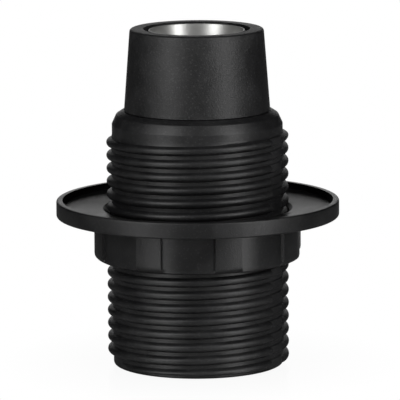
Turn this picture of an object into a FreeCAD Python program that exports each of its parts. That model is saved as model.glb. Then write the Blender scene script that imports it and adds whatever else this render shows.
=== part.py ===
import FreeCAD, Part
import os
import re

import Sketcher
from FreeCAD import Vector

# E14 lamp holder in black thermoplastic, 28 x 2 mm barrel thread, loose shade ring, M10x1 cable entry.
# It stands on its lamp mouth: z = 0 is the mouth's face and +Z points to the cable entry.

SIZES = [
    # barrel: one moulding, open at both ends
    ("core_radius", "13.03", "plain wall between and beyond the threads"),
    ("barrel_wall", "2.53", "plain wall down to the bore"),
    ("thread_depth", "0.87", "crests of the 28 x 2 thread above the plain wall"),
    ("thread_pitch", "2.00", "pitch of that thread, right-hand"),
    ("thread_crest", "0.36", "width of its crests"),
    ("thread_root", "0.03", "bottom of its groove above the plain wall"),
    ("thread_phase", "0.22", "mouth face to the middle of the groove, at the first relief"),
    ("thread_start", "0.85", "lower end of the threaded length"),
    ("thread_land", "1.35", "plain band between the thread and the shoulder"),
    ("relief_depth", "0.60", "how deep the two parting reliefs cut the crests"),
    ("relief_angle", "19", "degrees that each parting relief spans"),
    ("relief_turn", "-25.5", "degrees from +X to the first relief"),
    ("barrel_height", "39.20", "mouth face to barrel top"),
    ("nose_bevel", "0.65", "bevel round the mouth's outer edge"),
    ("shoulder_depth", "2.00", "barrel top down to where the wall starts to lean in"),
    ("shoulder_lean", "0.65", "how far the steeper slope leans in"),
    ("shoulder_top_depth", "0.60", "height of the flatter slope above it"),
    ("shoulder_top_lean", "0.92", "how far the flatter slope leans in"),
    ("lip_width", "0.90", "ledge round the mouth that the block rests on"),
    ("lip_thickness", "1.50", "height of that ledge"),
    ("snap_groove_depth", "0.60", "groove that the cap's hooks catch in"),
    # cap: the cone with its snap skirt
    ("seam_gap", "0.10", "joint line between barrel and cap"),
    ("seam_step", "0.12", "edge of the barrel's top outside the cone's foot"),
    ("cap_height", "12.40", "joint line to the cap's top face"),
    ("cap_taper", "1.14", "how far the cone narrows over its height"),
    ("cap_edge", "0.30", "chamfer of the top edge"),
    ("cap_ceiling", "6.10", "joint line to the roof of the wiring space"),
    ("entry_recess_width", "0.60", "moulded ring of shadow round the metal bush"),
    ("entry_recess_depth", "1.50", "depth of that ring"),
    ("skirt_clearance", "0.10", "skirt to barrel bore"),
    ("skirt_wall", "1.20", "wall of the skirt"),
    ("skirt_length", "4.70", "skirt below the joint line"),
    ("skirt_slot_width", "3.00", "slots that part the skirt into hooks"),
    ("skirt_band", "0.80", "unslotted band under the joint line"),
    ("hook_height", "1.10", "height of the hooks' beads"),
    ("hook_clearance", "0.15", "beads to the bottom of the groove"),
    ("hook_play", "0.20", "beads to the sides of the groove"),
    # entry bush: turned metal, M10x1
    ("bush_radius", "7.35", "outside of the bush"),
    ("bush_clearance", "0.05", "bush in its bore in the cap"),
    ("bush_rim", "0.23", "thin wall round the polished mouth"),
    ("bush_mouth_depth", "3.00", "rim to the shoulder over the thread"),
    ("bush_rim_drop", "0.20", "cap top to the rim of the bush"),
    ("hexagon_step", "0.35", "flats of the hexagon beyond the bush"),
    ("hexagon_height", "1.50", "thickness of the hexagon"),
    ("boss_wall", "1.94", "wall of the boss below the hexagon"),
    ("boss_height", "3.00", "boss below the hexagon"),
    ("entry_thread_radius", "4.46", "core hole of the M10x1 thread"),
    ("entry_chamfer", "0.50", "chamfer at the mouth of the tapped hole"),
    # shade ring: flange and nut in one moulding
    ("ring_height", "16.42", "mouth face to the underside of the ring's nut"),
    ("ring_clearance", "0.08", "ring bore over the barrel's crests"),
    ("ring_lead_in", "0.25", "chamfer at the bottom of the ring's bore"),
    ("nut_wall", "2.04", "ring bore to the lands of the nut"),
    ("nut_edge_radius", "1.25", "rounding under the nut"),
    ("nut_height", "6.53", "underside of the nut to underside of the flange"),
    ("grip_depth", "0.46", "grip recesses below the lands"),
    ("grip_count", "8", "grip recesses round the nut"),
    ("grip_angle", "29", "degrees that each recess spans"),
    ("grip_turn", "-5.5", "degrees from +X to the middle of the first recess"),
    ("flange_overhang", "5.60", "lands of the nut to the outside of the 43 mm flange"),
    ("flange_thickness", "2.50", "underside of the flange to the top of its rim"),
    ("flange_edge", "0.25", "chamfer of the flange's lower edge"),
    ("rim_width", "1.17", "raised rim round the flange"),
    ("rim_height", "1.30", "rim above the web"),
    ("rim_edge", "0.15", "chamfer of the rim's two edges"),
    ("web_lead_in", "0.52", "wide chamfer at the top of the ring's bore"),
    # contact block: the insulating insert
    ("block_clearance", "0.15", "block in the barrel's bore, and under the cap's skirt"),
    ("block_wall", "1.45", "wall round the lamp's skirt, and rim round the deck"),
    ("lamp_bore_end", "9.70", "mouth face to the end of the room for the lamp's skirt"),
    ("shell_clearance", "0.30", "block to the outside of the screw shell"),
    ("well_radius", "4.20", "well that holds the centre contact"),
    ("well_depth", "3.20", "shell ledge to the roof of the well"),
    ("deck_thickness", "5.40", "roof of the well to the deck under the terminals"),
    ("divider_thickness", "1.60", "wall between live and neutral"),
    ("divider_height", "5.40", "that wall above the deck"),
    # screw shell: E14
    ("shell_bore_radius", "6.95", "root of the E14 thread"),
    ("sheet_thickness", "0.30", "sheet metal of the shell"),
    ("shell_setback", "0.20", "end of the lamp's room to the shell's open end"),
    ("shell_length", "12.50", "open end to flanged end"),
    ("shell_corner", "0.90", "slanted corner between wall and flange, as drawn"),
    ("shell_flange_width", "3.05", "flange turned in from the bore"),
    # centre contact: bent spring strip
    ("strip_thickness", "0.40", "spring strip, and the live terminal's tail"),
    ("strip_width", "3.00", "spring strip"),
    ("contact_reach", "3.40", "hinge line to the lamp's axis"),
    ("contact_drop", "1.15", "hinge line down to the contact point"),
    ("contact_toe", "1.30", "turned-up end beyond the contact point"),
    ("contact_toe_rise", "0.70", "how far that end turns up"),
    ("contact_tab", "1.50", "tab above the hinge line"),
    ("contact_hinge_gap", "0.75", "roof of the well down to the hinge line"),
    ("slot_clearance", "0.30", "strip and tail in their slot"),
    ("slot_room", "0.50", "room behind the tab for its swing"),
    # terminals
    ("terminal_gap", "1.80", "divider to each terminal plate"),
    ("terminal_margin", "1.30", "each terminal plate to the rim round the deck"),
    ("terminal_length", "7.80", "terminal plate along the divider"),
    ("terminal_thickness", "1.40", "terminal plate"),
    ("screw_shift", "1.30", "terminal's middle to its screw"),
    ("rivet_shift", "2.60", "terminal's middle to its rivet, along the plate"),
    ("rivet_inset", "2.45", "bore of the shell to the rivet, across the plate"),
    ("tail_width", "2.60", "live terminal's tail"),
    ("tail_shift", "1.70", "lamp axis to the middle of the tail"),
    ("tail_drop", "0.20", "roof of the well to the end of the tail"),
    ("tail_gap", "0.05", "tail to the tab of the centre contact"),
    ("screw_radius", "1.50", "M3 clamp screw"),
    ("screw_length", "4.80", "under the head"),
    ("screw_clearance", "0.05", "screw in its plates"),
    ("screw_room", "0.40", "screw in its pocket in the block"),
    ("head_overhang", "1.00", "clamp screw head beyond the shank"),
    ("head_height", "1.70", "clamp screw head"),
    ("head_slot_width", "0.70", "driver slot"),
    ("head_slot_depth", "0.80", "driver slot"),
    ("clamp_length", "5.00", "clamp plate along the terminal, and it is as wide as that"),
    ("clamp_thickness", "0.80", "clamp plate"),
    ("rivet_radius", "0.60", "shank of the shell's rivet"),
    ("rivet_overhang", "0.40", "heads of the rivet beyond the shank"),
    ("rivet_head_height", "0.50", "both heads of the rivet"),
    ("rivet_clearance", "0.05", "rivet in its holes"),
]
WORDS = {name for name, size, note in SIZES}

# Radii and heights that several pieces share, as expressions in the words above.
# Heights are from the mouth face unless the name says otherwise.
THREAD_RADIUS = "(core_radius + thread_depth)"
SHOULDER_RADIUS = "(core_radius - shoulder_lean)"
BARREL_TOP_RADIUS = f"({SHOULDER_RADIUS} - shoulder_top_lean)"
CHAMBER_RADIUS = "(core_radius - barrel_wall)"
LIP_RADIUS = f"({CHAMBER_RADIUS} - lip_width)"
SHOULDER_HEIGHT = "(barrel_height - shoulder_depth)"
THREAD_END = f"({SHOULDER_HEIGHT} - thread_land)"
CAP_SEAT = "(barrel_height + seam_gap)"
SKIRT_END = f"({CAP_SEAT} - skirt_length)"
SKIRT_RADIUS = f"({CHAMBER_RADIUS} - skirt_clearance)"
WIRING_RADIUS = f"({SKIRT_RADIUS} - skirt_wall)"
GROOVE_RADIUS = f"({CHAMBER_RADIUS} + snap_groove_depth)"
CAP_FOOT_RADIUS = f"({BARREL_TOP_RADIUS} - seam_step)"
CAP_TOP_RADIUS = f"({CAP_FOOT_RADIUS} - cap_taper)"
BUSH_BORE = "(bush_radius + bush_clearance)"
BUSH_HEIGHT = "(boss_height + cap_height - bush_rim_drop - cap_ceiling)"
BUSH_THREAD_END = f"({BUSH_HEIGHT} - bush_mouth_depth)"
RING_BORE = f"({THREAD_RADIUS} + ring_clearance)"
NUT_RADIUS = f"({RING_BORE} + nut_wall)"
FLANGE_RADIUS = f"({NUT_RADIUS} + flange_overhang)"
FLANGE_TOP_IN_RING = "(nut_height + flange_thickness)"
WEB_TOP_IN_RING = f"({FLANGE_TOP_IN_RING} - rim_height)"
BLOCK_RADIUS = f"({CHAMBER_RADIUS} - block_clearance)"
BLOCK_TOP = f"({SKIRT_END} - block_clearance)"
LAMP_BORE_RADIUS = f"({BLOCK_RADIUS} - block_wall)"
SHELL_RADIUS = "(shell_bore_radius + sheet_thickness)"
SHELL_START = "(lamp_bore_end + shell_setback)"
SHELL_END = f"({SHELL_START} + shell_length)"
WELL_ROOF = f"({SHELL_END} + well_depth)"
DECK_HEIGHT = f"({WELL_ROOF} + deck_thickness)"
CLAMP_BASE = f"({DECK_HEIGHT} + terminal_thickness)"
TERMINAL_NEAR = "(divider_thickness / 2 + terminal_gap)"
TERMINAL_FAR = f"({LAMP_BORE_RADIUS} - terminal_margin)"
TERMINAL_OFFSET = f"(({TERMINAL_NEAR} + {TERMINAL_FAR}) / 2)"
RIVET_OFFSET = "(shell_bore_radius - rivet_inset)"
TAIL_NEAR = "(strip_thickness / 2 + tail_gap - contact_reach)"
TAIL_SIDE = "(tail_shift + tail_width / 2)"

doc = FreeCAD.newDocument("LampHolder")
sheet = doc.addObject("Spreadsheet::Sheet", "Sizes")
for row, (name, size, note) in enumerate(SIZES, 1):
    sheet.set(f"A{row}", name)
    sheet.set(f"B{row}", size)
    sheet.setAlias(f"B{row}", name)
    sheet.set(f"C{row}", note)
doc.recompute()

NODES = []


def sized(text):
    """The expression with each size word pointed at its cell."""
    return re.sub(r"[a-z_]+", lambda word: f"Sizes.{word[0]}" if word[0] in WORDS else word[0], text)


def value(text):
    """What an expression comes to, as a plain number."""
    return float(sheet.evalExpression(sized(text)))


def bind(thing, target, text):
    thing.setExpression(target, sized(text))


def origin_part(body, role):
    return next(item for item in body.Origin.OriginFeatures if item.Role == role)


def new_body(label, height="0", turn=None, across=None, along=None):
    """A piece with its own frame, placed at a height, turned about Z and shifted sideways."""
    body = doc.addObject("PartDesign::Body", label)
    body.Label = label
    bind(body, "Placement.Base.z", height)
    if across:
        bind(body, "Placement.Base.x", across)
    if along:
        bind(body, "Placement.Base.y", along)
    if turn:
        body.Placement.Rotation = FreeCAD.Rotation(Vector(0, 0, 1), value(turn))
        bind(body, "Placement.Rotation.Angle", turn)
    NODES.append(body)
    return body


def new_sketch(body, name, plane, height=None):
    sketch = body.newObject("Sketcher::SketchObject", name)
    sketch.AttachmentSupport = [(origin_part(body, plane), "")]
    sketch.MapMode = "FlatFace"
    if height:
        bind(sketch, "AttachmentOffset.Base.z", height)
    return sketch


def hold(sketch, shape, point, kind, size):
    """Fix one coordinate of a point by an expression, or put the point on the axis where it is nought."""
    if size == "0":
        axis = -2 if kind == "DistanceX" else -1
        sketch.addConstraint(Sketcher.Constraint("PointOnObject", shape, point, axis))
        return
    number = sketch.addConstraint(Sketcher.Constraint(kind, -1, 1, shape, point, value(size)))
    bind(sketch, f"Constraints[{number}]", size)


def outline(body, name, plane, corners, height=None):
    """A closed outline of straight edges, each corner a pair of expressions."""
    sketch = new_sketch(body, name, plane, height)
    spots = [Vector(value(across), value(up), 0) for across, up in corners]
    for here, there in zip(spots, spots[1:] + spots[:1]):
        sketch.addGeometry(Part.LineSegment(here, there))
    for edge in range(len(corners)):
        following = (edge + 1) % len(corners)
        sketch.addConstraint(Sketcher.Constraint("Coincident", edge, 2, following, 1))
    for edge, (across, up) in enumerate(corners):
        hold(sketch, edge, 1, "DistanceX", across)
        hold(sketch, edge, 1, "DistanceY", up)
    return sketch


def circle(body, name, radius, across="0", along="0", height=None):
    sketch = new_sketch(body, name, "XY_Plane", height)
    middle = Vector(value(across), value(along), 0)
    sketch.addGeometry(Part.Circle(middle, Vector(0, 0, 1), value(radius)))
    hold(sketch, 0, 3, "DistanceX", across)
    hold(sketch, 0, 3, "DistanceY", along)
    number = sketch.addConstraint(Sketcher.Constraint("Radius", 0, value(radius)))
    bind(sketch, f"Constraints[{number}]", radius)
    return sketch


def add_hole(sketch, radius):
    """Add a round hole on the axis to an outline."""
    shape = sketch.addGeometry(Part.Circle(Vector(0, 0, 0), Vector(0, 0, 1), value(radius)))
    sketch.addConstraint(Sketcher.Constraint("Coincident", shape, 3, -1, 1))
    number = sketch.addConstraint(Sketcher.Constraint("Radius", shape, value(radius)))
    bind(sketch, f"Constraints[{number}]", radius)


def box_corners(left, right, near, far):
    return [(left, near), (right, near), (right, far), (left, far)]


def feature(body, kind, name, sketch, **bound):
    """Add a feature to a body and make sure that it changed the body's volume the right way."""
    doc.recompute()
    before = body.Shape.Volume if body.Tip else 0
    made = body.newObject(f"PartDesign::{kind}", name)
    made.Profile = sketch
    if kind in ("Revolution", "Groove", "SubtractiveHelix"):
        made.ReferenceAxis = (sketch, ["V_Axis"])
    for target, text in bound.items():
        bind(made, target, text)
    doc.recompute()
    grows = kind in ("Revolution", "Pad")
    if (body.Shape.Volume > before) != grows:
        raise RuntimeError(f"{body.Label}.{name} did nothing")
    return made


def turned(body, name, corners):
    """A piece of revolution about Z, from its section at y = 0."""
    section = outline(body, name + "Section", "XZ_Plane", corners)
    return feature(body, "Revolution", name, section, Angle="360")


def repeat(body, name, original, count):
    """Space copies of a feature evenly round Z."""
    pattern = body.newObject("PartDesign::PolarPattern", name)
    pattern.Originals = [original]
    pattern.Axis = (origin_part(body, "Z_Axis"), [""])
    pattern.Angle = 360
    bind(pattern, "Occurrences", count)
    body.Tip = pattern
    doc.recompute()


def soften(body, name, rims, kind, size):
    """Round or chamfer the circular edges that lie at the given radii and heights."""
    base = body.Tip
    chosen = []
    for number, edge in enumerate(base.Shape.Edges, 1):
        if not isinstance(edge.Curve, Part.Circle):
            continue
        for rim_radius, rim_height in rims:
            near_radius = abs(edge.Curve.Radius - value(rim_radius)) < 1e-4
            near_height = abs(edge.Curve.Center.z - value(rim_height)) < 1e-4
            if near_radius and near_height:
                chosen.append(f"Edge{number}")
    if len(chosen) < len(rims):
        raise RuntimeError(f"{body.Label}.{name} found {len(chosen)} of {len(rims)} edges")
    made = body.newObject(f"PartDesign::{kind}", name)
    made.Base = (base, chosen)
    bind(made, "Radius" if kind == "Fillet" else "Size", size)
    doc.recompute()


def cut_thread(body):
    """Right-hand V groove, wound from a turn below the mouth to a turn above the thread."""
    middle = "thread_phase - thread_pitch"
    half = "(thread_pitch - thread_crest) / 2"
    overshoot = "thread_crest / 2"
    half_outside = f"({half} + {half} / (thread_depth - thread_root) * {overshoot})"
    groove = outline(body, "GrooveSection", "XZ_Plane", [
        ("core_radius + thread_root", middle),
        (f"{THREAD_RADIUS} + {overshoot}", f"{middle} + {half_outside}"),
        (f"{THREAD_RADIUS} + {overshoot}", f"{middle} - {half_outside}"),
    ])
    feature(body, "SubtractiveHelix", "Thread", groove,
            Pitch="thread_pitch", Height=f"{THREAD_END} + 2 * thread_pitch")


def make_barrel():
    """Open tube with a bevelled nose, a two-slope shoulder, a seat lip and a snap groove inside.

    The reliefs are cut before the thread, so that its groove runs on through them.
    """
    body = new_body("barrel", turn="relief_turn")
    groove_top = f"{SKIRT_END} + hook_height + hook_play"
    groove_foot = f"{SKIRT_END} - hook_play"
    turned(body, "Shell", [
        (LIP_RADIUS, "0"),
        ("core_radius - nose_bevel", "0"),
        ("core_radius", "nose_bevel"),
        ("core_radius", "thread_start"),
        (THREAD_RADIUS, "thread_start"),
        (THREAD_RADIUS, THREAD_END),
        ("core_radius", THREAD_END),
        ("core_radius", SHOULDER_HEIGHT),
        (SHOULDER_RADIUS, "barrel_height - shoulder_top_depth"),
        (BARREL_TOP_RADIUS, "barrel_height"),
        (CHAMBER_RADIUS, "barrel_height"),
        (CHAMBER_RADIUS, groove_top),
        (GROOVE_RADIUS, groove_top),
        (GROOVE_RADIUS, groove_foot),
        (CHAMBER_RADIUS, groove_foot),
        (CHAMBER_RADIUS, "lip_thickness"),
        (LIP_RADIUS, "lip_thickness"),
    ])
    relief = outline(body, "ReliefSection", "XZ_Plane", box_corners(
        f"{THREAD_RADIUS} - relief_depth", f"{THREAD_RADIUS} + relief_depth", "thread_start", THREAD_END))
    cut = feature(body, "Groove", "Relief", relief, Angle="relief_angle")
    cut.Midplane = True
    repeat(body, "Reliefs", cut, "2")
    cut_thread(body)


def hexagon_corners(apothem):
    """Corners of a hexagon from its half width across the flats."""
    reach = f"({apothem}) / cos(30)"
    return [(f"{reach} * cos({angle})", f"{reach} * sin({angle})") for angle in range(0, 360, 60)]


def make_cap():
    """Cone with a recessed entry, a hexagon pocket for the bush and four snap hooks on its skirt."""
    body = new_body("cap", CAP_SEAT)
    bead_top = "hook_height - skirt_length"
    bead_radius = f"{GROOVE_RADIUS} - hook_clearance"
    recess_radius = "bush_radius + entry_recess_width"
    turned(body, "Cone", [
        (SKIRT_RADIUS, "0"),
        (CAP_FOOT_RADIUS, "0"),
        (CAP_TOP_RADIUS, "cap_height"),
        (recess_radius, "cap_height"),
        (recess_radius, "cap_height - entry_recess_depth"),
        (BUSH_BORE, "cap_height - entry_recess_depth"),
        (BUSH_BORE, "cap_ceiling"),
        (WIRING_RADIUS, "cap_ceiling"),
        (WIRING_RADIUS, "-skirt_length"),
        (SKIRT_RADIUS, "-skirt_length"),
        (bead_radius, f"{bead_top} - hook_height / 2"),
        (bead_radius, bead_top),
        (SKIRT_RADIUS, bead_top),
    ])
    soften(body, "TopEdge", [(CAP_TOP_RADIUS, "cap_height")], "Chamfer", "cap_edge")
    hexagon = outline(body, "HexagonOutline", "XY_Plane", hexagon_corners(
        "bush_radius + hexagon_step + bush_clearance"), "cap_ceiling + hexagon_height")
    feature(body, "Pocket", "HexagonPocket", hexagon, Length="hexagon_height")
    slot = outline(body, "SlotOutline", "XY_Plane", box_corners(
        "0", "core_radius", "-skirt_slot_width / 2", "skirt_slot_width / 2"), "-skirt_band")
    cut = feature(body, "Pocket", "SkirtSlot", slot, Length="skirt_length - skirt_band")
    repeat(body, "SkirtSlots", cut, "4")


def make_entry_bush():
    """Turned bush: deep polished mouth over the tapped hole, a hexagon against turning and a lower boss."""
    body = new_body("entry_bush", f"{CAP_SEAT} + cap_ceiling - boss_height")
    boss_radius = "entry_thread_radius + boss_wall"
    turned(body, "Turning", [
        ("entry_thread_radius", "0"),
        (boss_radius, "0"),
        (boss_radius, "boss_height"),
        ("bush_radius", "boss_height"),
        ("bush_radius", BUSH_HEIGHT),
        ("bush_radius - bush_rim", BUSH_HEIGHT),
        ("bush_radius - bush_rim", BUSH_THREAD_END),
        ("entry_thread_radius + entry_chamfer", BUSH_THREAD_END),
        ("entry_thread_radius", f"{BUSH_THREAD_END} - entry_chamfer"),
    ])
    hexagon = outline(body, "HexagonOutline", "XY_Plane", hexagon_corners("bush_radius + hexagon_step"),
                      "boss_height")
    add_hole(hexagon, boss_radius)
    feature(body, "Pad", "Hexagon", hexagon, Length="hexagon_height")


def make_shade_ring():
    """Flange with a raised rim, and below it a nut with grip recesses, bored to run on the barrel."""
    body = new_body("shade_ring", "ring_height", turn="grip_turn")
    rim_inside = f"{FLANGE_RADIUS} - rim_width"
    turned(body, "Ring", [
        (RING_BORE, "ring_lead_in"),
        (f"{RING_BORE} + ring_lead_in", "0"),
        (NUT_RADIUS, "0"),
        (NUT_RADIUS, "nut_height"),
        (FLANGE_RADIUS, "nut_height"),
        (FLANGE_RADIUS, FLANGE_TOP_IN_RING),
        (rim_inside, FLANGE_TOP_IN_RING),
        (rim_inside, WEB_TOP_IN_RING),
        (f"{RING_BORE} + web_lead_in", WEB_TOP_IN_RING),
        (RING_BORE, f"{WEB_TOP_IN_RING} - web_lead_in"),
    ])
    rim_edges = [(FLANGE_RADIUS, FLANGE_TOP_IN_RING), (rim_inside, FLANGE_TOP_IN_RING)]
    soften(body, "NutEdge", [(NUT_RADIUS, "0")], "Fillet", "nut_edge_radius")
    soften(body, "FlangeEdge", [(FLANGE_RADIUS, "nut_height")], "Chamfer", "flange_edge")
    soften(body, "RimEdges", rim_edges, "Chamfer", "rim_edge")
    grip = outline(body, "GripSection", "XZ_Plane", box_corners(
        f"{NUT_RADIUS} - grip_depth", f"{NUT_RADIUS} + grip_depth", "-nut_edge_radius", "nut_height"))
    cut = feature(body, "Groove", "Grip", grip, Angle="grip_angle")
    cut.Midplane = True
    repeat(body, "Grips", cut, "grip_count")


def make_contact_block():
    """Insulating insert: lamp bore, shell bore and contact well below, terminal deck with a divider above."""
    body = new_body("contact_block")
    shell_bore = f"{SHELL_RADIUS} + shell_clearance"
    turned(body, "Insert", [
        (LAMP_BORE_RADIUS, "lip_thickness"),
        (BLOCK_RADIUS, "lip_thickness"),
        (BLOCK_RADIUS, BLOCK_TOP),
        (LAMP_BORE_RADIUS, BLOCK_TOP),
        (LAMP_BORE_RADIUS, DECK_HEIGHT),
        ("0", DECK_HEIGHT),
        ("0", WELL_ROOF),
        ("well_radius", WELL_ROOF),
        ("well_radius", SHELL_END),
        (shell_bore, SHELL_END),
        (shell_bore, "lamp_bore_end"),
        (LAMP_BORE_RADIUS, "lamp_bore_end"),
    ])
    half_wall = "divider_thickness / 2"
    rim_middle = f"({BLOCK_RADIUS} + {LAMP_BORE_RADIUS}) / 2"
    divider = outline(body, "DividerOutline", "XY_Plane", box_corners(
        f"-{half_wall}", half_wall, f"-{rim_middle}", rim_middle), DECK_HEIGHT)
    feature(body, "Pad", "Divider", divider, Length=f"{BLOCK_TOP} - {DECK_HEIGHT}")
    upper = outline(body, "DividerTopOutline", "XY_Plane", box_corners(
        f"-{half_wall}", half_wall, f"-{LAMP_BORE_RADIUS}", LAMP_BORE_RADIUS), BLOCK_TOP)
    feature(body, "Pad", "DividerTop", upper, Length=f"{DECK_HEIGHT} + divider_height - {BLOCK_TOP}")
    slot = outline(body, "SlotOutline", "XY_Plane", box_corners(
        "-(contact_reach + strip_thickness / 2 + slot_room)",
        f"{TAIL_NEAR} + strip_thickness + slot_clearance",
        f"-{TAIL_SIDE} - slot_clearance",
        "strip_width / 2 + slot_clearance"), DECK_HEIGHT)
    feature(body, "Pocket", "ContactSlot", slot, Length="deck_thickness")
    for side, name in ((1, "Neutral"), (-1, "Live")):
        across = f"{side} * {TERMINAL_OFFSET}"
        pocket = circle(body, f"{name}ScrewOutline", "screw_radius + screw_room", across,
                        f"{-side} * screw_shift", DECK_HEIGHT)
        depth = "screw_length - clamp_thickness - terminal_thickness + screw_room"
        feature(body, "Pocket", f"{name}ScrewPocket", pocket, Length=depth)
    add_rivet_hole(body, DECK_HEIGHT, f"{DECK_HEIGHT} - {SHELL_END}")


def add_rivet_hole(body, height, depth):
    """Hole for the shell's rivet, down from a height."""
    hole = circle(body, "RivetOutline", "rivet_radius + rivet_clearance", RIVET_OFFSET, "rivet_shift", height)
    feature(body, "Pocket", "RivetHole", hole, Length=depth)


def make_screw_shell():
    """Sheet shell of the E14 thread, open below and flanged inwards at its top."""
    body = new_body("screw_shell")
    flange_foot = f"{SHELL_END} - sheet_thickness"
    inner_corner = "(shell_corner - sheet_thickness / 2)"
    turned(body, "Shell", [
        ("shell_bore_radius", SHELL_START),
        (SHELL_RADIUS, SHELL_START),
        (SHELL_RADIUS, f"{SHELL_END} - shell_corner"),
        (f"{SHELL_RADIUS} - shell_corner", SHELL_END),
        ("shell_bore_radius - shell_flange_width", SHELL_END),
        ("shell_bore_radius - shell_flange_width", flange_foot),
        (f"shell_bore_radius - {inner_corner}", flange_foot),
        ("shell_bore_radius", f"{flange_foot} - {inner_corner}"),
    ])
    add_rivet_hole(body, SHELL_END, "sheet_thickness")


def make_centre_contact():
    """Spring strip in the well: a tab beside the live tail, a tongue sloping to the axis, a turned-up toe."""
    body = new_body("centre_contact", f"{WELL_ROOF} - contact_hinge_gap", across="-contact_reach")
    half = "strip_thickness / 2"
    strip = outline(body, "StripSection", "XZ_Plane", [
        (f"-{half}", "contact_tab"),
        (f"-{half}", f"-{half}"),
        ("contact_reach", f"-contact_drop - {half}"),
        ("contact_reach + contact_toe", f"contact_toe_rise - contact_drop - {half}"),
        ("contact_reach + contact_toe", f"contact_toe_rise - contact_drop + {half}"),
        ("contact_reach", f"{half} - contact_drop"),
        (half, half),
        (half, "contact_tab"),
    ])
    tongue = feature(body, "Pad", "Strip", strip, Length="strip_width")
    tongue.Midplane = True


def terminal_plate(label, side):
    """Brass plate on the deck with a clearance hole for its clamp screw."""
    body = new_body(label, DECK_HEIGHT)
    plate = outline(body, "PlateOutline", "XY_Plane", box_corners(
        f"{side} * {TERMINAL_NEAR}",
        f"{side} * {TERMINAL_FAR}",
        "-terminal_length / 2",
        "terminal_length / 2"))
    feature(body, "Pad", "Plate", plate, Length="terminal_thickness")
    hole = circle(body, "ScrewOutline", "screw_radius + screw_clearance", f"{side} * {TERMINAL_OFFSET}",
                  f"{-side} * screw_shift", "terminal_thickness")
    feature(body, "Pocket", "ScrewHole", hole, Length="terminal_thickness")
    return body


def make_terminals():
    """Neutral plate held by the shell's rivet, and live plate with a tail down to the centre contact."""
    neutral = terminal_plate("neutral_terminal", 1)
    add_rivet_hole(neutral, "terminal_thickness", "terminal_thickness")
    live = terminal_plate("live_terminal", -1)
    tail_length = "deck_thickness + tail_drop"
    tail = outline(live, "TailOutline", "XY_Plane", box_corners(
        TAIL_NEAR, f"{TAIL_NEAR} + strip_thickness", f"-{TAIL_SIDE}", "tail_width / 2 - tail_shift"),
        f"-({tail_length})")
    feature(live, "Pad", "Tail", tail, Length=tail_length)


def make_clamp(prefix, side):
    """Clamp plate and its slotted screw."""
    across = f"{side} * {TERMINAL_OFFSET}"
    along = f"{-side} * screw_shift"
    head_radius = "(screw_radius + head_overhang)"
    plate = new_body(f"{prefix}_clamp_plate", CLAMP_BASE, across=across, along=along)
    half_width = f"({TERMINAL_FAR} - {TERMINAL_NEAR}) / 2"
    washer = outline(plate, "PlateOutline", "XY_Plane", box_corners(
        f"-{half_width}", half_width, "-clamp_length / 2", "clamp_length / 2"))
    add_hole(washer, "screw_radius + screw_clearance")
    feature(plate, "Pad", "Plate", washer, Length="clamp_thickness")
    screw = new_body(f"{prefix}_clamp_screw", f"{CLAMP_BASE} + clamp_thickness", across=across, along=along)
    turned(screw, "Screw", [
        ("0", "-screw_length"),
        ("screw_radius", "-screw_length"),
        ("screw_radius", "0"),
        (head_radius, "0"),
        (head_radius, "head_height"),
        ("0", "head_height"),
    ])
    slot = outline(screw, "SlotOutline", "XY_Plane", box_corners(
        f"-2 * {head_radius}",
        f"2 * {head_radius}",
        "-head_slot_width / 2",
        "head_slot_width / 2"), "head_height")
    feature(screw, "Pocket", "DriverSlot", slot, Length="head_slot_depth")


def make_shell_rivet():
    """Long rivet from the shell's flange through the block to the neutral plate."""
    body = new_body("shell_rivet", across=RIVET_OFFSET, along="rivet_shift")
    foot = f"({SHELL_END} - sheet_thickness)"
    head_radius = "rivet_radius + rivet_overhang"
    turned(body, "Rivet", [
        ("0", f"{foot} - rivet_head_height"),
        (head_radius, f"{foot} - rivet_head_height"),
        (head_radius, foot),
        ("rivet_radius", foot),
        ("rivet_radius", CLAMP_BASE),
        (head_radius, CLAMP_BASE),
        (head_radius, f"{CLAMP_BASE} + rivet_head_height"),
        ("0", f"{CLAMP_BASE} + rivet_head_height"),
    ])


def check_model():
    for item in doc.Objects:
        if "Invalid" in item.State or "Error" in item.State:
            raise RuntimeError(f"{item.Label} is {item.State}")
    for body in NODES:
        if body.Shape.isNull() or not body.Shape.isValid() or len(body.Shape.Solids) != 1:
            raise RuntimeError(f"{body.Label} is not one valid solid")


def write_parts():
    os.makedirs("parts", exist_ok=True)
    for body in NODES:
        body.Shape.exportStep(f"parts/{body.Label}.step")
        print(body.Label, round(body.Shape.Volume, 2), "mm3")


make_barrel()
make_cap()
make_entry_bush()
make_shade_ring()
make_contact_block()
make_screw_shell()
make_centre_contact()
make_terminals()
make_clamp("neutral", 1)
make_clamp("live", -1)
make_shell_rivet()
doc.recompute()
check_model()
write_parts()
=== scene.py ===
import math

import bmesh
import bpy
from mathutils import Matrix, Vector


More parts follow.
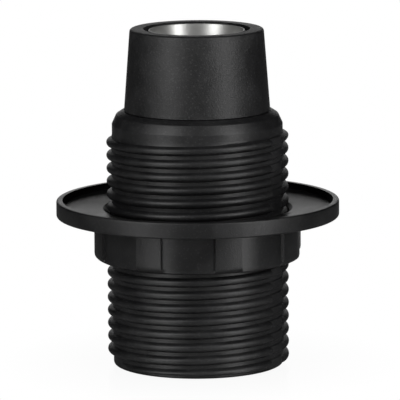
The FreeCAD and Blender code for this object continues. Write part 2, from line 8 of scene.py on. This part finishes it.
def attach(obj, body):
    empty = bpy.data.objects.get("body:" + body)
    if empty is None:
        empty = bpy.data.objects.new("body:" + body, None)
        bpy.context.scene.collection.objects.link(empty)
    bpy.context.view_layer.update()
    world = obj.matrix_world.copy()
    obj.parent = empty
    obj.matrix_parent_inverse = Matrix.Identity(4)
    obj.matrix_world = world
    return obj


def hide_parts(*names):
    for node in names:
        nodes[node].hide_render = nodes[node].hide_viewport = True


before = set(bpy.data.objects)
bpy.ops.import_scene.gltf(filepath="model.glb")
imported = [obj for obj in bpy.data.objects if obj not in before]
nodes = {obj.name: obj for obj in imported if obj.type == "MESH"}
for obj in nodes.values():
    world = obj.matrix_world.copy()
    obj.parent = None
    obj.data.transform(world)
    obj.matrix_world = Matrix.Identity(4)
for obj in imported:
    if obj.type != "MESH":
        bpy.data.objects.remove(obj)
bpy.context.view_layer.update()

# Barrel: the threaded tube, open at both ends, moulded in satin black thermoplastic.
# The 28 x 2 thread comes off two slides, so its crests are relieved where the slides meet.
# A ledge at the mouth carries the contact block, and a groove inside takes the cap's hooks.
MM = 0.001
BARREL_MOUTH = 9.6
BARREL_BORE = 10.5
BARREL_GROOVE = 11.1
BARREL_CORE = 13.03
BARREL_ROOT = BARREL_CORE + 0.10
BARREL_CREST = 13.9
BARREL_TOP = 39.2
BARREL_PITCH = 2.0
BARREL_CREST_HEIGHT = 1.36
BARREL_THREAD_LOW = 0.46
BARREL_THREAD_HIGH = 35.9
BARREL_FIRST_CREST = 0.50
BARREL_LAST_CREST = 35.85
BARREL_RELIEF = 13.3
RELIEF_MIDDLE = -25.5
RELIEF_HALF = 9.6
BARREL_BLACK = (0.0062, 0.0062, 0.0066, 1)
BARREL_BLOOM = (0.0230, 0.0230, 0.0234, 1)


class Lead:
    """A wire from a socket of a finish. Sums, differences and products of it add their own nodes."""

    def __init__(self, tree, socket=None):
        self.tree = tree
        self.socket = socket

    def node(self, kind, settings, inputs, output=0):
        """Add a node: its settings first, with a ramp's stops, then the values or leads of its sockets."""
        made = self.tree.nodes.new("ShaderNode" + kind)
        for name, setting in settings.items():
            if name == "stops":
                for element, (place, colour) in zip(made.color_ramp.elements, setting):
                    element.position = place
                    element.color = colour
            else:
                setattr(made, name, setting)
        for name, given in inputs.items():
            if isinstance(given, Lead):
                self.tree.links.new(given.socket, made.inputs[name])
            else:
                made.inputs[name].default_value = given
        return Lead(self.tree, made.outputs[output] if made.outputs else None)

    def math(self, operation, first, second):
        return self.node("Math", {"operation": operation}, {0: first, 1: second})

    def __add__(self, other):
        return self.math("ADD", self, other)

    def __radd__(self, other):
        return self.math("ADD", other, self)

    def __sub__(self, other):
        return self.math("SUBTRACT", self, other)

    def __rsub__(self, other):
        return self.math("SUBTRACT", other, self)

    def __mul__(self, other):
        return self.math("MULTIPLY", self, other)

    def __rmul__(self, other):
        return self.math("MULTIPLY", other, self)

    def limited(self):
        """The same value kept between nought and one."""
        return self.node("Clamp", {}, {"Value": self})

    def between(self, first, second):
        """A colour mixed from two others, with this value as the share of the second."""
        return self.node("Mix", {"data_type": "RGBA"}, {0: self, 6: first, 7: second}, 2)


def new_finish(name):
    """An empty material, and a lead into its node tree."""
    finish = bpy.data.materials.new(name)
    finish.use_nodes = True
    finish.node_tree.nodes.clear()
    return finish, Lead(finish.node_tree)


def black_plastic(name, black, bloom, roughness, grain_size, grain_depth, shine,
                  eroded_from=0.0, polish=0.0):
    """Moulded black thermoplastic with the tool's eroded grain, flow mottling and a faint pale bloom.

    Nearer the axis than eroded_from, in millimetres, the tool was left smoother. Polish is how much
    glossier the level faces are.
    """
    finish, lead = new_finish(name)
    place = lead.node("TexCoord", {}, {}, "Object")
    grain = lead.node("TexNoise", {}, {"Vector": place, "Scale": 1 / (grain_size * MM), "Detail": 3.0})
    pits = lead.node("TexVoronoi", {}, {"Vector": place, "Scale": 0.55 / (grain_size * MM)})
    flow = lead.node("TexNoise", {}, {"Vector": place, "Scale": 190.0, "Detail": 4.0, "Distortion": 0.6})
    dust = lead.node("TexVoronoi", {}, {"Vector": place, "Scale": 2100.0, "Randomness": 1.0})
    speck = (1.0 - dust * 3.0).limited() * 1.1
    texture = grain * 0.65 + pits * 0.35
    flat_place = lead.node("VectorMath", {"operation": "MULTIPLY"}, {0: place, 1: (1, 1, 0)})
    radius = lead.node("VectorMath", {"operation": "LENGTH"}, {0: flat_place}, "Value")
    facing = lead.node("NewGeometry", {}, {}, "Normal")
    upwards = lead.node("SeparateXYZ", {}, {"Vector": facing}, "Z")
    level = (upwards * 8.0 - 7.0).limited()
    eroded = ((radius * 1000.0 - eroded_from) * 8.0 + 0.5 + level * 30.0).limited()
    pale = ((flow - 0.42) * 1.6 + (grain - 0.5) * 0.9 + speck).limited()
    height = texture * (0.3 + eroded * 0.7)
    bump = lead.node("Bump", {}, {"Strength": 0.9, "Distance": grain_depth * MM, "Height": height})
    gloss = (flow - 0.5) * 0.14 + (grain - 0.5) * 0.10 + eroded * 0.06 - level * polish
    surface = lead.node("BsdfPrincipled", {}, {
        "Base Color": pale.between(black, bloom),
        "Roughness": roughness + gloss,
        "Specular IOR Level": shine,
        "Normal": bump,
    })
    surface.node("OutputMaterial", {}, {"Surface": surface})
    return finish


def rounded(corners):
    """An outline of radius and height pairs; a third number rounds its corner to that radius."""
    points = []
    count = len(corners)
    for index, corner in enumerate(corners):
        here = Vector(corner[:2])
        if len(corner) < 3:
            points.append((here.x, here.y))
            continue
        before = (Vector(corners[index - 1][:2]) - here).normalized()
        after = (Vector(corners[(index + 1) % count][:2]) - here).normalized()
        half = before.angle(after) / 2
        middle = here + (before + after).normalized() * corner[2] / math.sin(half)
        start = here + before * corner[2] / math.tan(half) - middle
        sweep = math.pi - 2 * half
        turn = math.copysign(sweep, start.x * after.y - start.y * after.x)
        steps = max(2, round(sweep / 0.3))
        for step in range(steps + 1):
            spot = middle + Matrix.Rotation(turn * step / steps, 2) @ start
            points.append((spot.x, spot.y))
    return points


def round_turn(count, extra=()):
    """Angles of the columns round a piece: evenly spaced ones, and extra ones in degrees."""
    angles = {round(360 * step / count, 4) for step in range(count)}
    angles.update(round(angle % 360, 4) for angle in extra)
    return [math.radians(angle) for angle in sorted(angles)]


def plain_rows(outline, angles):
    """Level rows of a turned wall, with the step that its seam takes, which is none."""
    return [[point] * len(angles) for point in outline], 0


def thread_rows(low, high, pitch, crest_height, profile, angles, limit):
    """Rows that climb with a right-hand thread; limit trims the radius near the thread's two ends."""
    first = math.floor((low - pitch - crest_height) / pitch) - 1
    last = math.ceil((high - crest_height) / pitch) + 1
    rows = []
    for turn in range(first, last):
        for across, radius in profile:
            row = []
            for angle in angles:
                height = crest_height + (turn + angle / math.tau) * pitch + across
                height = min(max(height, low), high)
                row.append((limit(radius, height, angle), height))
            rows.append(row)
    return rows, len(profile)


def skin(name, strips, angles, sharp=40):
    """A closed mesh of strips of rows that go round the axis, each strip joined to the next."""
    shape = bmesh.new()
    whole = []
    for rows, step in strips:
        laid = []
        for row in rows:
            laid.append([shape.verts.new((
                radius * math.cos(angle) * MM,
                radius * math.sin(angle) * MM,
                height * MM,
            )) for angle, (radius, height) in zip(angles, row)])
        whole.append((laid, step))
    bands = []
    for laid, step in whole:
        top = len(laid) - 1
        for low in range(top):
            seam = [laid[min(max(low + more, 0), top)][0] for more in (step, step + 1)]
            bands.append((laid[low], laid[low + 1], seam))
    for (laid, step), (following, other) in zip(whole, whole[1:] + whole[:1]):
        bands.append((laid[-1], following[0], [laid[-1][0], following[0][0]]))
    for lower, upper, seam in bands:
        for left, right, above_left, above_right in zip(
                lower, lower[1:] + seam[:1], upper, upper[1:] + seam[1:]):
            corners = list(dict.fromkeys((left, right, above_right, above_left)))
            if len(corners) > 2:
                shape.faces.new(corners)
    return finish_mesh(name, shape, sharp)


def finish_mesh(name, shape, sharp):
    """Merge doubled points, turn the faces outwards and make a smooth object with sharp edges."""
    bmesh.ops.remove_doubles(shape, verts=shape.verts, dist=0.0005 * MM)
    bmesh.ops.dissolve_degenerate(shape, edges=shape.edges, dist=0.0001 * MM)
    bmesh.ops.recalc_face_normals(shape, faces=shape.faces)
    mesh = bpy.data.meshes.new(name)
    shape.to_mesh(mesh)
    shape.free()
    mesh.polygons.foreach_set("use_smooth", [True] * len(mesh.polygons))
    mesh.set_sharp_from_angle(angle=math.radians(sharp))
    piece = bpy.data.objects.new(name, mesh)
    bpy.context.scene.collection.objects.link(piece)
    return piece


def fit_piece(piece, finish, body, slot, *stands_for):
    """Give a piece its finish and body, and let it stand for its plain solids."""
    piece.data.materials.clear()
    piece.data.materials.append(finish)
    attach(piece, body)
    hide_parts(*stands_for)


def round_thread(pitch, root, crest, flank_lean, root_flat):
    """One pitch of a thread: a round crest, straight flanks that lean by an angle, and a flat root."""
    depth = abs(crest - root)
    reach = pitch / 2 - root_flat
    lean = math.radians(flank_lean)
    rise = 1 / math.tan(lean)
    bend = (rise * reach - depth) / (rise * math.cos(lean) - 1 + math.sin(lean))
    side = 1 if crest > root else -1
    profile = [(-reach, root)]
    for step in range(9):
        tilt = (math.pi / 2 - lean) * (step / 4 - 1)
        profile.append((bend * math.sin(tilt), crest - side * bend * (1 - math.cos(tilt))))
    profile.append((reach, root))
    return profile


def barrel_limit(radius, height, angle):
    """Trim the thread at both ends, and relieve its crests where the slides of the tool meet."""
    winding = BARREL_CREST_HEIGHT + BARREL_PITCH * angle / math.tau
    crest = winding + BARREL_PITCH * round((height - winding) / BARREL_PITCH)
    room = min(
        (crest - BARREL_FIRST_CREST) * 3.5,
        (BARREL_LAST_CREST - crest) * 3.0,
        height - (BARREL_THREAD_LOW + 0.01),
        (BARREL_THREAD_HIGH - 0.02) - height,
    )
    radius = min(radius, BARREL_CORE + 2.4 * max(0.0, room))
    turned_from_relief = abs((math.degrees(angle) - RELIEF_MIDDLE + 90) % 180 - 90)
    if turned_from_relief < RELIEF_HALF:
        return min(radius, BARREL_RELIEF)
    return radius


relief_sides = (-RELIEF_HALF - 0.3, -RELIEF_HALF + 0.3, RELIEF_HALF - 0.3, RELIEF_HALF + 0.3)
relief_edges = [middle + side for middle in (RELIEF_MIDDLE, RELIEF_MIDDLE + 180) for side in relief_sides]
barrel_turn = round_turn(160, relief_edges)
barrel_thread = round_thread(BARREL_PITCH, BARREL_ROOT, BARREL_CREST, 23, 0.27)
barrel = skin("barrel_moulding", [
    plain_rows(rounded([
        (BARREL_MOUTH, 1.5),
        (BARREL_MOUTH, 0, 0.25),
        (BARREL_CORE, 0, 0.44),
        (BARREL_CORE, BARREL_THREAD_LOW),
    ]), barrel_turn),
    thread_rows(BARREL_THREAD_LOW, BARREL_THREAD_HIGH, BARREL_PITCH, BARREL_CREST_HEIGHT,
                barrel_thread, barrel_turn, barrel_limit),
    plain_rows(rounded([
        (BARREL_CORE, 36.2),
        (BARREL_CORE, 37.2, 0.3),
        (12.38, 38.6, 0.3),
        (11.46, BARREL_TOP, 0.12),
        (BARREL_BORE, BARREL_TOP, 0.1),
        (BARREL_BORE, 35.9),
        (BARREL_GROOVE, 35.9),
        (BARREL_GROOVE, 34.4),
        (BARREL_BORE, 34.4),
        (BARREL_BORE, 1.5),
    ]), barrel_turn),
], barrel_turn)
barrel_black = black_plastic("barrel_black", BARREL_BLACK, BARREL_BLOOM, 0.36, 0.12, 0.026, 0.33)
fit_piece(barrel, barrel_black, "holder", "barrel", "barrel")

# Contact block: the insulating insert, pressed from black heat-resistant moulding compound.
# It stands on the barrel's ledge; the screw shell, the contact and both terminals are fixed to it.
BLOCK_BLACK = (0.020, 0.0195, 0.019, 1)
BLOCK_BLOOM = (0.034, 0.033, 0.031, 1)
block_black = black_plastic("block_black", BLOCK_BLACK, BLOCK_BLOOM, 0.50, 0.12, 0.012, 0.35)
nodes["contact_block"].data.materials.clear()
nodes["contact_block"].data.materials.append(block_black)

# Screw shell: the lamp's E14 thread rolled into nickelled sheet, with a flange turned in at its top.
# One long rivet through the block joins the flange to the neutral terminal.
SHELL_PITCH = 2.822
SHELL_ROOT = 6.95
SHELL_CREST = 6.25
SHELL_HOLE = 3.9
SHELL_TOP = 22.4
SHEET = 0.3
NICKEL = (0.60, 0.585, 0.55, 1)
NICKEL_DULL = (0.40, 0.385, 0.35, 1)


def bright_metal(name, colour, tarnish, roughness, line_scale, line_depth, metallic=1.0):
    """Bare or plated metal: lines left by turning or drawing, a soft tarnish and small changes of gloss."""
    finish, lead = new_finish(name)
    place = lead.node("TexCoord", {}, {}, "Object")
    across = lead.node("SeparateXYZ", {}, {"Vector": place}, "X")
    along = lead.node("SeparateXYZ", {}, {"Vector": place}, "Y")
    height = lead.node("SeparateXYZ", {}, {"Vector": place}, "Z")
    radius = lead.node("Math", {"operation": "SQRT"}, {0: across * across + along * along})
    round_place = lead.node("CombineXYZ", {}, {"X": radius, "Y": height, "Z": (across + along) * 0.02})
    lines = lead.node("TexNoise", {}, {"Vector": round_place, "Scale": line_scale, "Detail": 3.0})
    cloud = lead.node("TexNoise", {}, {"Vector": place, "Scale": 420.0, "Detail": 5.0, "Distortion": 0.5})
    fine = lead.node("TexNoise", {}, {"Vector": place, "Scale": 5200.0, "Detail": 2.0})
    stain = ((cloud - 0.48) * 2.2).limited()
    relief = lines + fine * 0.2
    bump = lead.node("Bump", {}, {"Strength": 0.6, "Distance": line_depth * MM, "Height": relief})
    surface = lead.node("BsdfPrincipled", {}, {
        "Base Color": stain.between(colour, tarnish),
        "Metallic": metallic,
        "Roughness": roughness + stain * 0.08 + (fine - 0.5) * 0.06,
        "Normal": bump,
    })
    surface.node("OutputMaterial", {}, {"Surface": surface})
    return finish


def returned(strip):
    """The same rows taken the other way, for a wall that comes back down."""
    rows, step = strip
    return rows[::-1], -step


def sheet_wall(out):
    """One side of the rolled sheet, which runs out to a plain wall at both ends of the thread."""
    groove = [(across, radius + out)
              for across, radius in round_thread(SHELL_PITCH, SHELL_ROOT, SHELL_CREST, 40, 0.35)]
    plain = SHELL_ROOT + out

    def limit(radius, height, angle):
        return max(radius, plain - max(0.0, height - 10.5) * 0.9, plain - max(0.0, 20.8 - height) * 0.9)

    return thread_rows(10.4, 20.9, SHELL_PITCH, 12.0, groove, shell_turn, limit)


shell_turn = round_turn(96)
shell = skin("screw_shell_sheet", [
    plain_rows([(SHELL_ROOT, 9.9), (SHELL_ROOT + SHEET, 9.9)], shell_turn),
    sheet_wall(SHEET),
    plain_rows(rounded([
        (SHELL_ROOT + SHEET, 21.2),
        (SHELL_ROOT + SHEET, SHELL_TOP, 0.8),
        (SHELL_HOLE, SHELL_TOP),
        (SHELL_HOLE, SHELL_TOP - SHEET),
        (SHELL_ROOT, SHELL_TOP - SHEET, 0.5),
        (SHELL_ROOT, 21.2),
    ]), shell_turn),
    returned(sheet_wall(0.0)),
], shell_turn)
shell_nickel = bright_metal("shell_nickel", NICKEL, NICKEL_DULL, 0.24, 3800.0, 0.006)
fit_piece(shell, shell_nickel, "holder", "shell_metal", "screw_shell")


# Centre contact: a strip of phosphor bronze bent to a springy tongue, standing in the well beside
# the live terminal's tail. The terminals are stamped brass plates on the block's deck, and the
# rivet is brass too.
BRONZE = (0.62, 0.36, 0.19, 1)
BRONZE_BROWN = (0.36, 0.20, 0.11, 1)
BRASS = (0.68, 0.48, 0.20, 1)
BRASS_BROWN = (0.42, 0.28, 0.12, 1)


def dress(name, finish, edge):
    """Put a finish on a plain solid and break its edges."""
    node = nodes[name]
    node.data.materials.clear()
    node.data.materials.append(finish)
    weld = node.modifiers.new("weld", "WELD")
    weld.merge_threshold = 0.0005 * MM
    bevel = node.modifiers.new("broken_edges", "BEVEL")
    bevel.width = edge * MM
    bevel.segments = 2
    bevel.limit_method = "ANGLE"
    bevel.angle_limit = math.radians(40)
    bevel.harden_normals = True
    bevel.use_clamp_overlap = True


contact_bronze = bright_metal("contact_bronze", BRONZE, BRONZE_BROWN, 0.26, 2600.0, 0.006)
terminal_brass = bright_metal("terminal_brass", BRASS, BRASS_BROWN, 0.30, 2600.0, 0.006)
dress("centre_contact", contact_bronze, 0.08)
dress("neutral_terminal", terminal_brass, 0.15)
dress("live_terminal", terminal_brass, 0.15)
dress("shell_rivet", terminal_brass, 0.15)

# Clamp plates and their slotted screws: zinc-plated steel, the plates stamped and the screws headed.
# Each screw draws its plate down on the wire, against the terminal.
ZINC = (0.56, 0.57, 0.58, 1)
ZINC_DULL = (0.38, 0.385, 0.40, 1)
clamp_zinc = bright_metal("clamp_zinc", ZINC, ZINC_DULL, 0.28, 3200.0, 0.006)
dress("neutral_clamp_plate", clamp_zinc, 0.12)
dress("live_clamp_plate", clamp_zinc, 0.12)
dress("neutral_clamp_screw", clamp_zinc, 0.20)
dress("live_clamp_screw", clamp_zinc, 0.20)

# Entry bush: turned from brass bar and nickelled, with a deep polished mouth over the M10 x 1 thread.
# Its hexagon sits in a pocket of the cap and stops it turning when the lamp pipe is screwed in.
ENTRY_CORE = 4.46
ENTRY_THREAD = 4.98
BUSH_OUTSIDE = 7.35
BUSH_MOUTH = 7.12
BUSH_TOP = 51.5
BUSH_STEP = 48.5
HEXAGON_LOW = 45.4
HEXAGON_HIGH = 46.9
BUSH_NICKEL = (0.36, 0.36, 0.35, 1)
BUSH_NICKEL_DULL = (0.28, 0.28, 0.27, 1)


def hexagon(apothem, angles):
    """Distance from the axis to a hexagon's side at each angle."""
    third = math.pi / 3
    return [apothem / math.cos((angle % third) - third / 2) for angle in angles]


def hexagon_rows(apothem, heights, angles):
    """Level rows of a hexagonal wall, one at each height."""
    reach = hexagon(apothem, angles)
    return [[(radius, height) for radius in reach] for height in heights], 0


def entry_limit(radius, height, angle):
    """Let the entry thread run out to its core near both ends."""
    low_room = max(0.0, height - 42.75) * 1.5
    high_room = max(0.0, 47.85 - height) * 1.5
    return min(radius, ENTRY_CORE + low_room, ENTRY_CORE + high_room)


entry_thread = [(-0.44, ENTRY_CORE), (-0.07, ENTRY_THREAD), (0.07, ENTRY_THREAD), (0.44, ENTRY_CORE)]
bush_turn = round_turn(120)
bush = skin("entry_bush_turning", [
    plain_rows([(4.9, 42.4), (6.25, 42.4), (6.4, 42.55), (6.4, HEXAGON_LOW)], bush_turn),
    hexagon_rows(7.6, [HEXAGON_LOW], bush_turn),
    hexagon_rows(7.7, [45.5, 46.8], bush_turn),
    hexagon_rows(7.6, [HEXAGON_HIGH], bush_turn),
    plain_rows(rounded([
        (BUSH_OUTSIDE, HEXAGON_HIGH),
        (BUSH_OUTSIDE, BUSH_TOP, 0.08),
        (BUSH_MOUTH, BUSH_TOP, 0.08),
        (6.6, BUSH_STEP, 0.12),
        (4.96, BUSH_STEP, 0.1),
        (ENTRY_CORE, 48.0),
    ]), bush_turn),
    returned(thread_rows(42.7, 47.9, 1.0, 43.2, entry_thread, bush_turn, entry_limit)),
    plain_rows([(ENTRY_CORE, 42.6)], bush_turn),
], bush_turn)
bush_nickel = bright_metal("bush_nickel", BUSH_NICKEL, BUSH_NICKEL_DULL, 0.36, 7000.0, 0.004, 0.76)
fit_piece(bush, bush_nickel, "holder", "bush_metal", "entry_bush")

# Cap: the cone that closes the wiring space, moulded with a fine spark-eroded face.
# Its skirt is slotted into four hooks, which snap into the barrel's groove.
WIRING_ROOM = 9.2
CAP_SKIRT = 10.4
CAP_TOP = 51.7
CAP_ENTRY = 7.95
CAP_BUSH_BORE = 7.4
CAP_BLACK = (0.0060, 0.0060, 0.0063, 1)
CAP_BLOOM = (0.0280, 0.0280, 0.0285, 1)
HOOK_BEAD = 10.95
HOOK_SPAN = 72.6
cap_turn = round_turn(144)
cap = skin("cap_moulding", [
    plain_rows(rounded([
        (WIRING_ROOM, 38.5),
        (CAP_SKIRT, 38.5),
        (CAP_SKIRT, 39.3),
        (11.34, 39.3, 0.1),
        (10.2, CAP_TOP, 0.4),
        (CAP_ENTRY, CAP_TOP, 0.15),
        (CAP_ENTRY, 50.2),
        (CAP_BUSH_BORE, 50.2),
        (CAP_BUSH_BORE, HEXAGON_HIGH),
    ]), cap_turn),
    hexagon_rows(7.75, [HEXAGON_HIGH, HEXAGON_LOW], cap_turn),
    plain_rows([(WIRING_ROOM, HEXAGON_LOW)], cap_turn),
], cap_turn)
cap_black = black_plastic("cap_black", CAP_BLACK, CAP_BLOOM, 0.38, 0.15, 0.055, 0.33)
fit_piece(cap, cap_black, "holder", "cap", "cap")

hook_outline = [
    (WIRING_ROOM, 34.6),
    (CAP_SKIRT, 34.6),
    (HOOK_BEAD, 35.15),
    (HOOK_BEAD, 35.7),
    (CAP_SKIRT, 35.7),
    (CAP_SKIRT, 38.6),
    (WIRING_ROOM, 38.6),
]
hooks = bmesh.new()
for quarter in range(4):
    arcs = []
    for step in range(15):
        angle = math.radians(90 * quarter + (90 - HOOK_SPAN) / 2 + HOOK_SPAN * step / 14)
        arcs.append([hooks.verts.new((
            radius * math.cos(angle) * MM,
            radius * math.sin(angle) * MM,
            height * MM,
        )) for radius, height in hook_outline])
    for here, there in zip(arcs, arcs[1:]):
        for index in range(len(hook_outline)):
            hooks.faces.new((here[index - 1], here[index], there[index], there[index - 1]))
    hooks.faces.new(arcs[0])
    hooks.faces.new(arcs[-1])
cap_hooks = finish_mesh("cap_hooks", hooks, 30)
fit_piece(cap_hooks, cap_black, "holder", "cap", "cap")

# Shade ring: flange and nut in one moulding, which runs on the barrel's thread and clamps a shade.
# Eight shallow grip recesses go round the nut, and a fine line shows where the tool parts.
RING_BORE = 13.98
RING_THREAD = 13.4
RING_OUTSIDE = 21.62
RING_TOP = 25.45
WEB_TOP = 24.15
NUT_LAND = 16.02
NUT_RECESS = 15.56
NUT_FOOT = 16.42
NUT_TOP = 22.95
GRIP_COUNT = 8
GRIP_STEP = 45
GRIP_TURN = -5.5
GRIP_HALF = 14.5
GRIP_RAMP = 0.5
PARTING_LINE = -72.2
RING_BLACK = (0.0058, 0.0058, 0.0061, 1)
RING_BLOOM = (0.0200, 0.0200, 0.0204, 1)


def nut_radius(angle):
    """Distance from the axis to the nut's wall: lands, recesses and the parting line's low ridge."""
    turned_from_grip = abs((math.degrees(angle) - GRIP_TURN + GRIP_STEP / 2) % GRIP_STEP - GRIP_STEP / 2)
    into_land = min(1.0, max(0.0, (turned_from_grip - GRIP_HALF) / GRIP_RAMP))
    turned_from_parting = abs((math.degrees(angle) - PARTING_LINE + 180) % 360 - 180)
    ridge = 0.05 if turned_from_parting < 0.2 else 0.0
    return NUT_RECESS + (NUT_LAND - NUT_RECESS) * into_land + ridge


def nut_wall(radius, height, angle):
    """Cut the grip recesses into the nut's wall, all but its foot."""
    if height > NUT_FOOT + 0.01:
        return min(radius, nut_radius(angle))
    return radius


def ring_limit(radius, height, angle):
    """Let the ring's thread run out to its bore near both ends."""
    low_room = max(0.0, height - 16.75) * 1.5
    high_room = max(0.0, 23.55 - height) * 1.5
    return max(radius, RING_BORE - low_room, RING_BORE - high_room)


grip_edges = [GRIP_STEP * grip + GRIP_TURN + side * edge
              for grip in range(GRIP_COUNT)
              for side in (-1, 1)
              for edge in (GRIP_HALF, GRIP_HALF + GRIP_RAMP)]
ring_turn = round_turn(180, grip_edges + [PARTING_LINE + side for side in (-0.5, -0.15, 0.15, 0.5)])
nut_outline = rounded([
    (14.23, NUT_FOOT),
    (NUT_LAND, NUT_FOOT, 1.25),
    (NUT_LAND, NUT_TOP),
])
nut_rows = [[(nut_wall(radius, height, angle), height) for angle in ring_turn]
            for radius, height in nut_outline]
ring_thread = [(-0.42, RING_BORE), (-0.1, RING_THREAD), (0.1, RING_THREAD), (0.42, RING_BORE)]
ring = skin("shade_ring_moulding", [
    (nut_rows, 0),
    plain_rows(rounded([
        (16.4, NUT_TOP),
        (RING_OUTSIDE, NUT_TOP, 0.3),
        (RING_OUTSIDE, RING_TOP, 0.3),
        (20.45, RING_TOP, 0.25),
        (20.45, WEB_TOP, 0.2),
        (14.5, WEB_TOP, 0.1),
        (RING_BORE, 23.63),
    ]), ring_turn),
    returned(thread_rows(16.7, 23.6, BARREL_PITCH, 2.36, ring_thread, ring_turn, ring_limit)),
], ring_turn)
ring_black = black_plastic("ring_black", RING_BLACK, RING_BLOOM, 0.36, 0.13, 0.036, 0.31,
                           eroded_from=15.8, polish=0.10)
fit_piece(ring, ring_black, "ring", "shade_ring", "shade_ring")

# Studio: a pale satin table, a tall soft light at the front left and one at the front right, and a
# white sheet behind. The table is white to the eye, keeps a faint shadow and fades into the sheet.
table_mesh = bmesh.new()
bmesh.ops.create_circle(table_mesh, cap_ends=True, segments=96, radius=3.0)
table_data = bpy.data.meshes.new("table")
table_mesh.to_mesh(table_data)
table_mesh.free()
table = bpy.data.objects.new("table", table_data)
bpy.context.scene.collection.objects.link(table)
table_pale, lead = new_finish("table_pale")
place = lead.node("TexCoord", {}, {}, "Object")
distance = lead.node("VectorMath", {"operation": "LENGTH"}, {0: place}, "Value")
seen = lead.node("LightPath", {}, {}, "Is Camera Ray")
tooth = lead.node("TexNoise", {}, {"Vector": place, "Scale": 900.0, "Detail": 3.0})
paper = lead.node("BsdfPrincipled", {}, {
    "Base Color": tooth.between((0.76, 0.76, 0.76, 1), (0.80, 0.80, 0.80, 1)),
    "Metallic": 0.65,
    "Roughness": 0.22,
})
glow = lead.node("Emission", {}, {"Color": (1, 1, 1, 1), "Strength": 1.0})
share = seen * (0.89 + distance * 3.5).limited()
mixed = lead.node("MixShader", {}, {0: share, 1: paper, 2: glow})
mixed.node("OutputMaterial", {}, {"Surface": mixed})
table_data.materials.append(table_pale)

room = bpy.data.worlds.new("room")
room.use_nodes = True
room.node_tree.nodes.clear()
lead = Lead(room.node_tree)
seen = lead.node("LightPath", {}, {}, "Is Camera Ray")
mirrored = lead.node("LightPath", {}, {}, "Is Glossy Ray")
shone = mirrored + lead.node("LightPath", {}, {}, "Is Transmission Ray")
towards = lead.node("TexCoord", {}, {}, "Generated")
behind = lead.node("SeparateXYZ", {}, {"Vector": towards}, "Y")
sheet = ((behind - 0.945) * 30.0).limited()
front = (0.2 - behind * 1.5).limited()
grey = front.between((0.0, 0.0, 0.0, 1), (0.18, 0.18, 0.18, 1))
walls = lead.node("Background", {}, {"Color": grey, "Strength": 1.0})
white = lead.node("Background", {}, {"Color": (1, 1, 1, 1), "Strength": 1.0})
mixed = lead.node("MixShader", {}, {0: (seen + shone * sheet).limited(), 1: walls, 2: white})
mixed.node("OutputWorld", {}, {"Surface": mixed})
bpy.context.scene.world = room

MIDDLE = Vector((0, 0, 0.026))


def soft_light(name, azimuth, elevation, distance, width, height, power):
    """A large soft light turned to the lamp holder; azimuth is from the camera's side, to the right."""
    lamp = bpy.data.lights.new(name, "AREA")
    lamp.shape = "RECTANGLE"
    lamp.size = width
    lamp.size_y = height
    lamp.energy = power
    stand = bpy.data.objects.new(name, lamp)
    across = math.radians(azimuth)
    up = math.radians(elevation)
    outward = Vector((math.sin(across) * math.cos(up), -math.cos(across) * math.cos(up), math.sin(up)))
    stand.location = MIDDLE + outward * distance
    stand.rotation_euler = (-outward).to_track_quat("-Z", "Y").to_euler()
    stand.visible_camera = False
    bpy.context.scene.collection.objects.link(stand)


soft_light("left_light", -46, 26, 0.80, 0.38, 0.64, 4.3)
soft_light("right_light", 49, 23, 0.80, 0.31, 0.68, 4.5)

# Camera: a long lens in front of the lamp holder, well above its cap and looking slightly down.
# The view transform is the plain one, so the blacks stay as they are set.
CAMERA_DIP = 9.66
CAMERA_ROLL = -0.35
camera_data = bpy.data.cameras.new("camera")
camera_data.lens = 405.52
camera_data.sensor_width = 36
camera_data.clip_start = 0.05
camera_data.clip_end = 20
camera = bpy.data.objects.new("camera", camera_data)
camera.location = (0.000352, -0.679, 0.14083)
dip = Matrix.Rotation(math.radians(90 - CAMERA_DIP), 3, "X")
roll = Matrix.Rotation(math.radians(CAMERA_ROLL), 3, "Z")
camera.rotation_euler = (dip @ roll).to_euler()
bpy.context.scene.collection.objects.link(camera)
bpy.context.scene.camera = camera
bpy.context.scene.view_settings.view_transform = "Standard"
